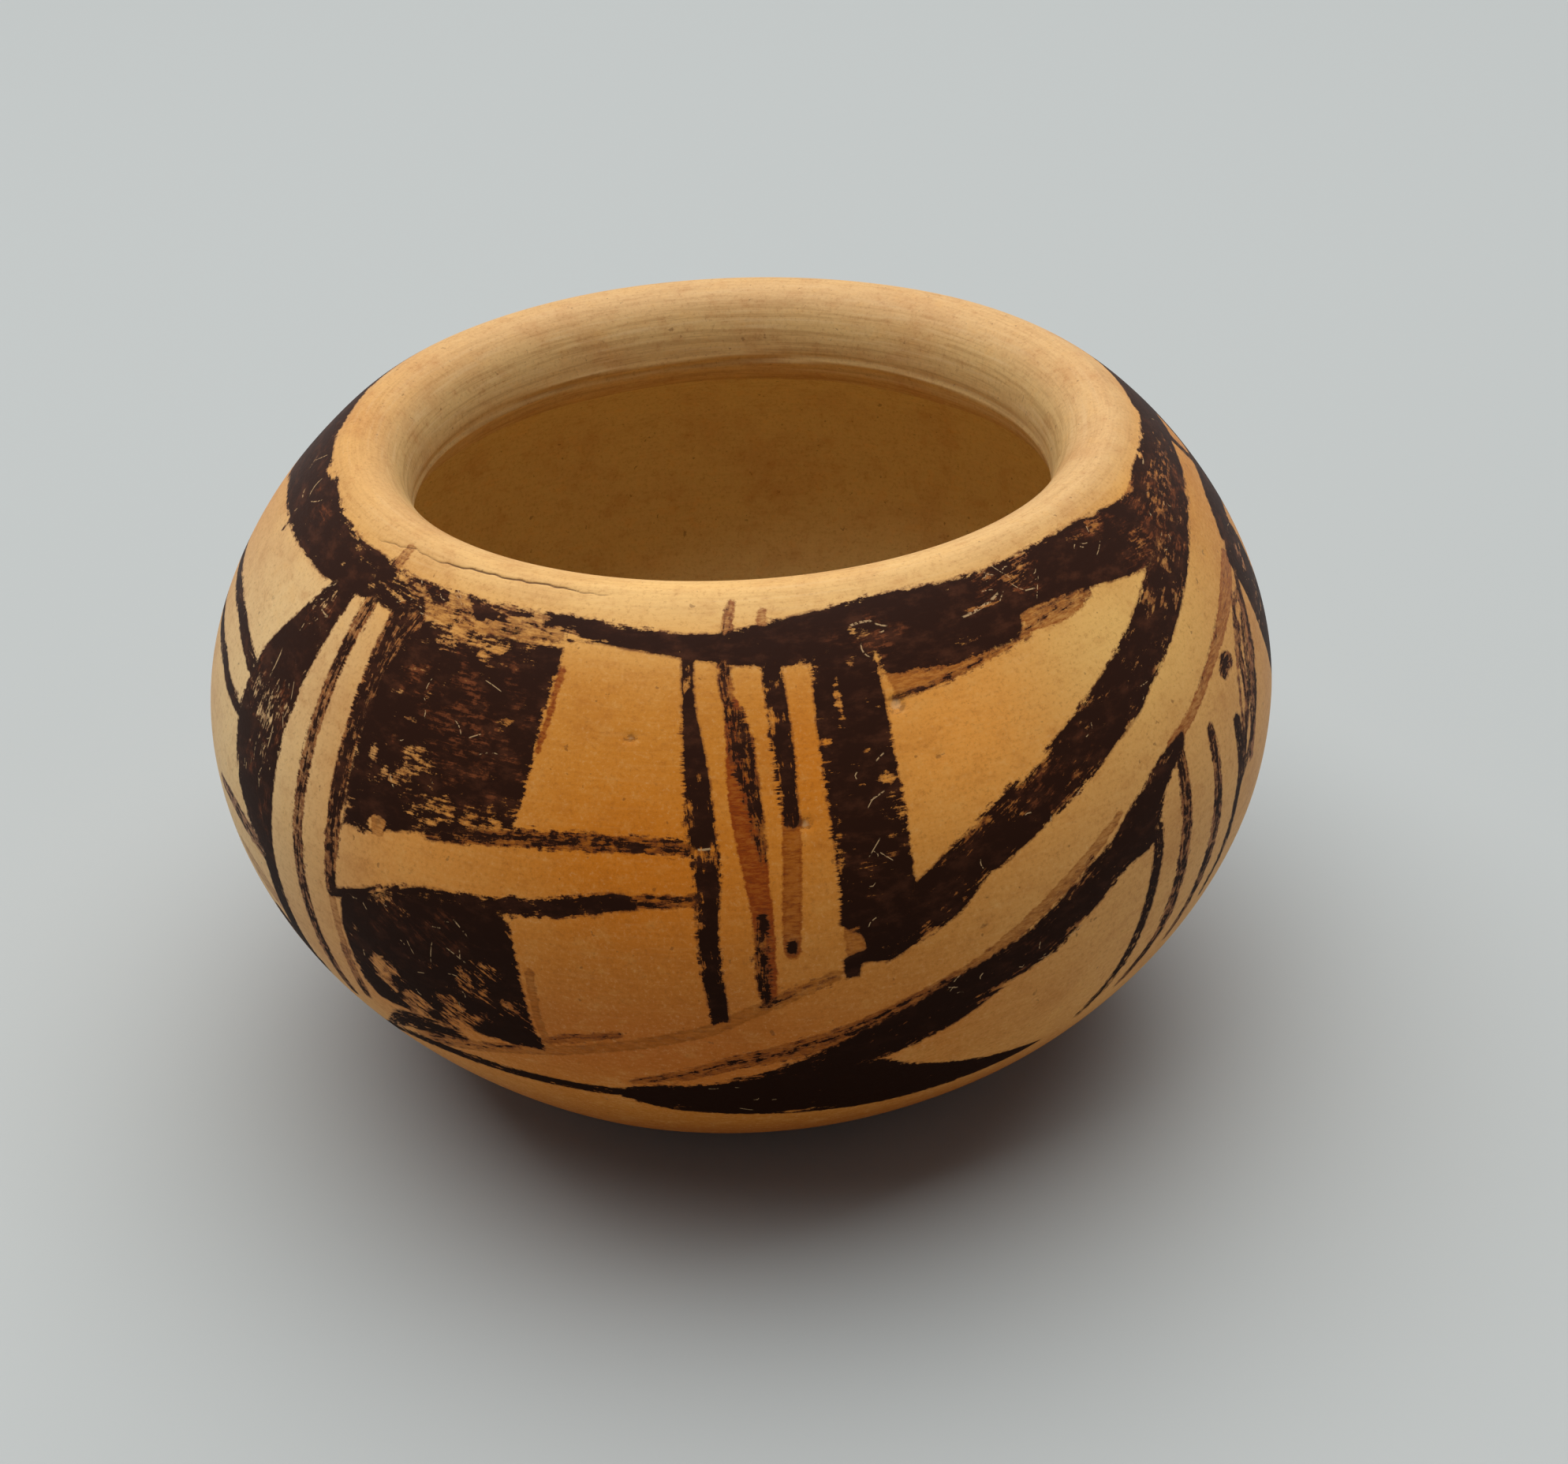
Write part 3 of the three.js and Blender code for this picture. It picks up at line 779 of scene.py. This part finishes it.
# Painted shade: darker and more orange under the belly, towards the foot
toward(CLAY_UNDER_SHADE, 1 - smooth(-37, -19, vertex_s))
toward(CLAY_RIM_ORANGE, smooth(27, 34, vertex_s) * 0.8)
toward(CLAY_RIM, smooth(32, 38, vertex_s))
add_clouds(RIM_CLOUDS)
toward(CLAY_NECK, past(CREST_AT, 3, 8))
# Painted shade just under the throat, where the wall turns down under the roll
toward(CLAY_THROAT_SHADE, past(THROAT_AT, 0.5, 6) * 0.7)
toward(CLAY_INSIDE, past(CREST_AT, 13, 22))

# What the material reads at each vertex
SCUFFED_ELSEWHERE = 0.3
UPRIGHT_SHARE = 0.9  # how fast the clay's texture changes up the wall, against round it
wiped = (0.45 * smooth(32, 37, vertex_s) + 0.55 * past(CREST_AT, 2, 7)) * (1 - past(THROAT_AT, 8, 13))
NUMBERS = {
    "ink": per_vertex(paint.ink, FAR),
    "wear": per_vertex(np.maximum(paint.dry, paint.worn), 0),
    "wash": per_vertex(paint.wash, FAR),
    "red": per_vertex(paint.red, 0),
    "scuff": per_vertex(paint.scuffed, SCUFFED_ELSEWHERE),
    "comb": per_vertex(paint.combed, 0),
    "crack": crack,
    "pit": pit,
    "inner": past(CREST_AT, 4, 12),
    "wiped": wiped,
}
VECTORS = {
    "lay": np.stack([points[:, 0], points[:, 1], vertex_s * UPRIGHT_SHARE], 1),
    "brush": per_vertex(paint.brush, 0),
    **{f"scratch_{number}": per_vertex(layer, 0) for number, layer in enumerate(scratches.layers)},
}
COLOURS = {"clay": np.insert(clay, 3, 1, axis=1)}
FIELDS = (
    ("FLOAT", "value", NUMBERS),
    ("FLOAT_VECTOR", "vector", VECTORS),
    ("FLOAT_COLOR", "color", COLOURS),
)


# Faces between one ring and the next

def faces_between(ring):
    """Triangles or quads from a ring to the next one, with the corners' columns as shares of a turn."""
    n, m = ring_columns[ring], ring_columns[ring + 1]
    a, b = ring_start[ring], ring_start[ring + 1]
    j = np.arange(max(n, m) if 1 in (n, m) else min(n, m))
    k = (j + 1) % len(j)
    if n == m:
        corners, turns = [(a + j, a + k, b + k, b + j)], [(j, j + 1, j + 1, j)]
    elif n == 1:
        corners, turns = [(a + 0 * j, b + k, b + j)], [(j, j + 1, j)]
    elif m == 1:
        corners, turns = [(a + j, a + k, b + 0 * j)], [(j, j + 1, j)]
    else:
        few, many = (a, b) if n < m else (b, a)
        f0, f1 = few + j, few + k
        g0, g1, g2 = many + 2 * j, many + 2 * j + 1, many + 2 * k
        corners, turns = [(f0, g1, g0), (f0, f1, g1), (f1, g2, g1)], [
            (j, j + 0.5, j), (j, j + 1, j + 0.5), (j + 1, j + 1, j + 0.5)]
    corners, turns = (np.concatenate([np.stack(face, 1) for face in faces]) for faces in (corners, turns))
    if n > m > 1:
        corners, turns = corners[:, ::-1], turns[:, ::-1]
    return corners, turns / len(j), np.where(corners >= b, ring + 1, ring)


surface = [faces_between(i) for i in range(len(ring_at) - 1)]
vertex_normal = np.zeros((len(points), 3))
for corners, _, _ in surface:
    p = points[corners]
    face = np.cross(p[:, 1] - p[:, 0], p[:, 2] - p[:, 0])
    if corners.shape[1] == 4:
        face = face + np.cross(p[:, 2] - p[:, 0], p[:, 3] - p[:, 0])
    for c in range(corners.shape[1]):
        np.add.at(vertex_normal, corners[:, c], face)
vertex_normal /= np.linalg.norm(vertex_normal, axis=1)[:, None]

# Layout of a piece's flat map: a thin row for each of its two seams, and its two faces above them
STRIPS = 4
GAP = 0.004
SEAM_GAP, SEAM_ROW, SEAM_ROWS_AT = 0.002, 0.01, (0.002, 0.016)
WALL_FROM = 0.03
DISC_RADIUS, DISC_HEIGHT, DISC_STRETCH = 0.25, 0.6, 1.5


def unwrap(turns, rings, low_v, high_v, first, last):
    """Flat places for a strip of wall, cut into equal lengths that lie one above another."""
    strip = np.minimum((turns.min(1) * STRIPS + 1e-6).astype(int), STRIPS - 1)[:, None]
    u = turns * STRIPS - strip
    v = (ring_at[rings] - ring_at[first]) / (ring_at[last] - ring_at[first])
    tall = (high_v - low_v) / STRIPS
    return np.stack([GAP + u * (1 - 2 * GAP), low_v + strip * tall + GAP + v * (tall - 2 * GAP)], 2)


def unroll_disc(corners, rings, first, last, outer):
    """Flat places for a round bottom, laid out from its middle, the outside left of the inside."""
    axis, left = (first, 0) if outer else (last, 0.5)
    away = abs(ring_at[rings] - ring_at[axis]) / (ring_at[last] - ring_at[first]) * (DISC_RADIUS - GAP)
    u = left + DISC_RADIUS + away * np.cos(vertex_angle[corners])
    return np.stack([u, DISC_HEIGHT + away * np.sin(vertex_angle[corners]) * DISC_STRETCH], 2)


def seam_faces(seam, up):
    """The level face at a seam, and its flat places. Up is 1 at the top of a piece and -1 at its foot."""
    j = np.arange(COLUMNS)
    k = (j + 1) % COLUMNS
    a, b = ring_start[out_rings[seam]], ring_start[in_rings[seam]]
    quad = np.stack([a + j, b + j, b + k, a + k], 1)
    low = SEAM_ROWS_AT[up > 0]
    u = SEAM_GAP + np.stack([j, j, j + 1, j + 1], 1) / COLUMNS * (1 - 2 * SEAM_GAP)
    flat = np.stack([u, np.tile([low, low + SEAM_ROW, low + SEAM_ROW, low], (COLUMNS, 1))], 2)
    return (quad[:, ::-1], flat[:, ::-1]) if up > 0 else (quad, flat)


def ring_near(at):
    return int(np.argmin(abs(ring_at - at)))


# Rings where the pieces end, outside and inside, from the axis up to the crest
out_rings = [ring_near(at) for at in (0, *seams_out, CREST_AT)]
in_rings = [ring_near(at) for at in (END_AT, *seams_in, CREST_AT)]


def add_object(name, data):
    made = bpy.data.objects.new(name, data)
    scene.collection.objects.link(made)
    return made


def build_piece(name, index):
    """One lump of clay as a closed mesh, counted from the foot up."""
    (out_first, out_last), (in_last, in_first) = out_rings[index:index + 2], in_rings[index:index + 2]
    long_out, long_in = ring_at[out_last] - ring_at[out_first], ring_at[in_last] - ring_at[in_first]
    share = WALL_FROM + (1 - WALL_FROM) * long_out / (long_out + long_in)
    corners, normals, places = [], [], []
    for first, last, outer in ((out_first, out_last, True), (in_first, in_last, False)):
        for faces, turns, rings in surface[first:last]:
            low_v, high_v = (WALL_FROM, share) if outer else (share, 1)
            corners += list(faces)
            normals += list(vertex_normal[faces])
            places += list(
                unwrap(turns, rings, low_v, high_v, first, last) if index
                else unroll_disc(faces, rings, first, last, outer)
            )
    for seam, up in ((index, -1), (index + 1, 1)):
        if 0 < seam <= len(SEAM_HEIGHTS):
            quads, flat = seam_faces(seam, up)
            corners += list(quads)
            normals += [np.tile([0.0, 0.0, up], (4, 1))] * COLUMNS
            places += list(flat)

    used, local = np.unique(np.concatenate(corners), return_inverse=True)
    ends = np.cumsum([len(face) for face in corners])
    mesh = bpy.data.meshes.new(name)
    mesh.from_pydata(points[used] * MM, [], np.split(local, ends[:-1]), shade_flat=False)
    mesh.validate()
    mesh.uv_layers.new(name="OFBake").data.foreach_set("uv", np.concatenate(places).ravel())
    mesh.normals_split_custom_set(np.concatenate(normals).tolist())
    for kind, key, fields in FIELDS:
        for field, values in fields.items():
            stored = mesh.attributes.new(field, kind, "POINT").data
            stored.foreach_set(key, values[used].astype(np.float32).ravel())
    return add_object(name, mesh)


# The burnished clay and its paint

class Graph:
    """Short calls for the nodes of a material or a world."""

    def __init__(self, owner):
        self.owner = owner
        owner.use_nodes = True
        self.tree = owner.node_tree
        self.tree.nodes.clear()

    def node(self, kind, sockets=(), **settings):
        made = self.tree.nodes.new(kind)
        for key, value in settings.items():
            setattr(made, key, value)
        for key, value in dict(sockets).items():
            if isinstance(value, bpy.types.NodeSocket):
                self.tree.links.new(value, made.inputs[key])
            else:
                made.inputs[key].default_value = (*value, 1) if isinstance(value, np.ndarray) else value
        return made

    def field(self, name, output="Fac"):
        return self.node("ShaderNodeAttribute", attribute_name=name).outputs[output]

    def split(self, vector):
        return self.node("ShaderNodeSeparateXYZ", {0: vector}).outputs

    def math(self, operation, a, b=0.0, c=0.0):
        return self.node("ShaderNodeMath", {0: a, 1: b, 2: c}, operation=operation).outputs[0]

    def times(self, product, *factors):
        for factor in factors:
            product = self.math("MULTIPLY", product, factor)
        return product

    def total(self, base, *terms):
        """A base and some terms, each of them a value and what it is multiplied by."""
        for value, factor in terms:
            base = self.math("MULTIPLY_ADD", value, factor, base)
        return base

    def minus(self, a, b):
        return self.math("SUBTRACT", a, b)

    def noise(self, vector, stretch, detail, roughness, shift=(0, 0, 0)):
        """Noise over a vector. Stretch is how fast it changes along each axis."""
        sockets = {0: vector, 1: stretch, 2: shift}
        where = self.node("ShaderNodeVectorMath", sockets, operation="MULTIPLY_ADD").outputs[0]
        sockets = {"Vector": where, "Scale": 1.0, "Detail": detail, "Roughness": roughness}
        return self.node("ShaderNodeTexNoise", sockets).outputs["Fac"]

    def step(self, value, low, high):
        """From 0 to 1 as the value goes from low to high, smoothly. High may be the lower one."""
        sockets = {"Value": value, "From Min": low, "From Max": high}
        made = self.node("ShaderNodeMapRange", sockets, interpolation_type="SMOOTHSTEP")
        return made.outputs["Result"]

    def mix(self, factor, a, b):
        sockets = {0: factor, 6: a, 7: b}
        return self.node("ShaderNodeMix", sockets, data_type="RGBA", clamp_factor=True).outputs[2]

    def surface(self, sockets):
        """Ends a material with its shader."""
        shader = self.node("ShaderNodeBsdfPrincipled", sockets)
        self.node("ShaderNodeOutputMaterial", {"Surface": shader.outputs["BSDF"]})
        return self.owner


# Tints that break up the clay, from light to dark
PALE = linear(244, 198, 134)
BLOOM = linear(236, 178, 100)
SCORCH = linear(176, 98, 30)
SMUDGE = linear(150, 84, 30)
SPECK = linear(96, 52, 22)
WIPED_PALE, WIPED_DARK = linear(240, 208, 160), linear(150, 98, 44)

# Paint, and what shows where it is worn, scratched, pitted or cracked
INK_DARK = linear(44, 20, 9)
INK_SHADED_LOW = linear(32, 13, 4)
INK_BROWN = linear(108, 52, 20)
INK_TONE = linear(74, 40, 24)
INK_RUBBED = linear(134, 72, 40)
INK_RED = linear(148, 62, 4)
WASH_BROWN = linear(148, 82, 12)
BARE = linear(232, 190, 138)
DUST_AND_CRACK_SHADE = linear(96, 60, 30)


def bare_clay(g, lay_at):
    """Colour of the unpainted clay, with the wiping streaks and the grain of its skin."""
    streak = g.noise(lay_at, (0.16, 0.16, 2.6), 5, 0.6)
    cloud = g.noise(lay_at, (0.09, 0.09, 0.09), 6, 0.62)
    mottle = g.noise(lay_at, (0.42, 0.42, 0.6), 6, 0.66, (7, 2, 8))
    grain = g.noise(lay_at, (2.2, 2.2, 2.4), 5, 0.75)
    speck = g.noise(lay_at, (1.1, 1.1, 1.1), 2, 0.5, (40, 7, 3))
    ridge = g.noise(lay_at, (0.07, 0.07, 2.2), 5, 0.65, (4, 4, 9))
    wiped = g.field("wiped")
    colour = g.field("clay", "Color")
    for noise, low, high, amount, tint in (
        (streak, 0.45, 0.75, 0.10, SMUDGE), (streak, 0.50, 0.25, 0.08, PALE),
        (cloud, 0.48, 0.72, 0.28, SCORCH), (cloud, 0.46, 0.26, 0.22, BLOOM),
        (mottle, 0.50, 0.70, 0.22, SCORCH), (mottle, 0.48, 0.30, 0.20, BLOOM),
        (grain, 0.50, 0.70, 0.34, SMUDGE), (grain, 0.48, 0.30, 0.24, PALE),
        (speck, 0.71, 0.76, 0.45, SPECK),
        (ridge, 0.50, 0.62, g.times(wiped, 0.28), WIPED_DARK),
        (ridge, 0.46, 0.36, g.times(wiped, 0.26), WIPED_PALE),
    ):
        colour = g.mix(g.times(g.step(noise, low, high), amount), colour, tint)
    return colour, streak, grain


def washed(g, lay_at, colour, ragged):
    """Thin brown or red paint over the clay, streaked, with a darker rim where it dried."""
    red = g.field("red")
    fine = g.noise(lay_at, (0.8, 0.8, 3.6), 7, 0.7)
    edge = g.total(g.field("wash"), (g.minus(ragged, 0.5), 1.1))
    here = g.step(edge, -0.12, 0.16)
    rim = g.times(g.step(edge, 0.5, 0.1), here)
    depth = g.total(0.18, (red, 0.55), (g.step(fine, 0.40, 0.60), 0.34), (rim, 0.12))
    wash = g.mix(red, WASH_BROWN, INK_RED)
    wash = g.mix(g.times(g.step(fine, 0.54, 0.64), 0.6), wash, INK_BROWN)
    return g.mix(g.times(here, g.math("MINIMUM", depth, 1.0)), colour, wash)


def scratched(g, lay_at):
    """Where a scratch has gone through the paint."""
    broken = g.step(g.noise(lay_at, (2.6, 2.6, 2.6), 2, 0.5), 0.42, 0.52)
    lines = 0.0
    for number in range(Scratches.LAYERS):
        across, along, near = g.split(g.field(f"scratch_{number}", "Vector"))
        across = g.step(g.math("ABSOLUTE", across), 1.4, 0.6)
        along = g.step(g.math("ABSOLUTE", along), 1.0, 0.7)
        lines = g.math("MAXIMUM", g.times(across, along, g.step(near, 0.9, 0.99), broken), lines)
    return lines


def inked(g, lay_at, colour, ragged, upper):
    """Dark paint over the clay, and how solid it is."""
    # How far inside the paint a place is, with crinkled, combed and feathered edges
    ink = g.field("ink")
    rough_here = g.step(g.noise(lay_at, (0.12, 0.12, 0.12), 3, 0.5, (1, 6, 2)), 0.40, 0.60)
    fibres = g.noise(g.field("brush", "Vector"), (0.4, 2.4, 1.0), 7, 0.7)
    comb = g.noise(lay_at, (0.45, 0.45, 4.4), 3, 0.6, (6, 1, 2))
    edge = g.total(
        ink,
        (g.minus(comb, 0.53), g.times(g.field("comb"), 3.4)),
        (g.minus(ragged, 0.5), g.total(0.4, (rough_here, 1.5))),
        (g.minus(fibres, 0.5), g.total(0.2, (rough_here, 1.1))),
    )

    # How much of it is left, whole or as a stain
    chips = g.noise(lay_at, (0.95, 0.95, 1.2), 8, 0.7, (3, 8, 1))
    at_edge = g.times(g.step(ink, 1.3, 0.0), g.total(0.06, (rough_here, 0.26)))
    mixed = g.total(-0.25, (fibres, 0.82), (chips, 0.68))
    left = g.minus(mixed, g.total(0.27, (g.field("wear"), 0.36), (at_edge, 0.36)))
    solid = g.times(g.step(edge, -0.05, 0.09), g.step(left, -0.01, 0.035))
    thin = g.times(g.step(edge, -0.3, 0.02), g.step(left, -0.16, -0.01))
    stain = g.times(thin, g.total(0.42, (g.step(ragged, 0.42, 0.6), 0.45)))

    # It is browner towards the shoulder, where it has been handled most, and darker lower down with painted
    # shade
    tone = g.noise(lay_at, (0.3, 0.3, 0.6), 6, 0.65, (5, 5, 5))
    handled = g.step(g.times(g.field("scuff"), tone), 0.26, 0.5)
    # Painted shade: the ink goes darker lower down the wall
    dark = g.mix(upper, INK_SHADED_LOW, INK_DARK)
    dark = g.mix(g.times(g.step(tone, 0.46, 0.72), upper), dark, INK_TONE)
    dark = g.mix(g.times(g.step(mixed, 0.52, 0.38), handled, upper, 0.75), dark, INK_RUBBED)
    colour = g.mix(solid, g.mix(stain, colour, INK_BROWN), dark)
    return g.mix(g.times(scratched(g, lay_at), thin, 0.6), colour, BARE), solid


def clay_material():
    g = Graph(bpy.data.materials.new("burnished_painted_clay"))
    lay_at = g.field("lay", "Vector")
    ragged = g.noise(lay_at, (1.1, 1.1, 1.6), 7, 0.7, (9, 2, 5))
    upper = g.step(g.split(lay_at)[2], -22, 24)
    colour, streak, grain = bare_clay(g, lay_at)
    colour = washed(g, lay_at, colour, ragged)
    colour, solid = inked(g, lay_at, colour, ragged, upper)

    # Pits with a grubby rim and a bare floor, and painted shade along the crack
    pit = g.field("pit")
    for tint, amount in (
        (DUST_AND_CRACK_SHADE, g.times(g.step(pit, 0.12, 0.3), g.step(ragged, 0.44, 0.56), 0.5)),
        (BARE, g.times(g.step(pit, 0.45, 0.85), 0.45)),
        # Painted shade in the crack
        (DUST_AND_CRACK_SHADE, g.times(g.step(g.field("crack"), 0.15, 0.8), 0.9)),
    ):
        colour = g.mix(amount, colour, tint)

    # Height of the skin: grain, wiping marks, and the edge of the paint
    skin = g.total(0.0, (streak, 0.22), (grain, 0.22), (solid, 0.16))
    bump = g.node("ShaderNodeBump", {"Height": skin, "Strength": 0.35, "Distance": 0.12 * MM})
    return g.surface({
        "Base Color": colour,
        "Roughness": g.total(0.34, (grain, 0.25), (solid, 0.1), (g.field("inner"), 0.22)),
        "Normal": bump.outputs["Normal"],
        "IOR": 1.45,
        "Specular IOR Level": g.times(g.total(0.03, (upper, 0.16)), g.total(1.0, (solid, -0.55))),
    })


material = clay_material()
for index, (name, node, slot) in enumerate(PIECES):
    piece = build_piece(name, index)
    piece.data.materials.append(material)
    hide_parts(node)
    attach(piece, "root")

# Floor
FLOOR_HALF = 3.0
floor_mesh = bpy.data.meshes.new("floor")
corners = [(x * FLOOR_HALF, y * FLOOR_HALF, 0) for x, y in ((-1, -1), (1, -1), (1, 1), (-1, 1))]
floor_mesh.from_pydata(corners, [], [(0, 1, 2, 3)])
floor = add_object("floor", floor_mesh)
floor_mesh.materials.append(Graph(bpy.data.materials.new("pale_floor")).surface({
    "Base Color": linear(190, 194, 193), "Roughness": 0.95, "Specular IOR Level": 0.1,
}))

# Light: a wide soft lamp above and a little behind, and an even sky
LAMP_PLACE, LAMP_SIZE, LAMP_WATTS = (-0.10, 0.20, 1.65), (2.4, 2.2), 43.0
SKY_LIGHT, SKY_LIGHT_STRENGTH = linear(236, 240, 243), 0.12
BACKDROP, BACKDROP_STRENGTH = linear(205, 209, 208), 1.0
lamp = bpy.data.lights.new("soft_lamp", "AREA")
lamp.shape = "RECTANGLE"
lamp.size, lamp.size_y = LAMP_SIZE
lamp.energy = LAMP_WATTS
lamp_object = add_object("soft_lamp", lamp)
lamp_object.location = LAMP_PLACE
lamp_object.rotation_euler = lamp_object.location.to_track_quat("Z", "Y").to_euler()
lamp_object.visible_camera = False

sky = Graph(bpy.data.worlds.new("sky"))
ray = sky.node("ShaderNodeLightPath").outputs
seen = sky.math("MAXIMUM", ray["Is Camera Ray"], ray["Is Glossy Ray"])
light, backdrop = (
    sky.node("ShaderNodeBackground", {"Color": colour, "Strength": strength}).outputs[0]
    for colour, strength in ((SKY_LIGHT, SKY_LIGHT_STRENGTH), (BACKDROP, BACKDROP_STRENGTH))
)
either = sky.node("ShaderNodeMixShader", {0: seen, 1: light, 2: backdrop})
sky.node("ShaderNodeOutputWorld", {"Surface": either.outputs[0]})
scene.world = sky.owner

# Camera where the photograph was taken from
CAMERA_PLACE = (0.004513, -0.253195, 0.185011)
CAMERA_RISE, CAMERA_ROLL = math.radians(30.65), math.radians(-2.272)
FOCAL_PIXELS, IMAGE_WIDTH, SENSOR_WIDTH = 3200, 1988, 36
camera = bpy.data.cameras.new("camera")
camera.sensor_width = SENSOR_WIDTH
camera.lens = FOCAL_PIXELS / IMAGE_WIDTH * SENSOR_WIDTH
camera.clip_start, camera.clip_end = 0.01, 20
scene.camera = add_object("camera", camera)
tilt, roll = Matrix.Rotation(math.pi / 2 - CAMERA_RISE, 4, "X"), Matrix.Rotation(CAMERA_ROLL, 4, "Z")
scene.camera.matrix_world = Matrix.Translation(CAMERA_PLACE) @ tilt @ roll

scene.view_settings.view_transform = "Standard"
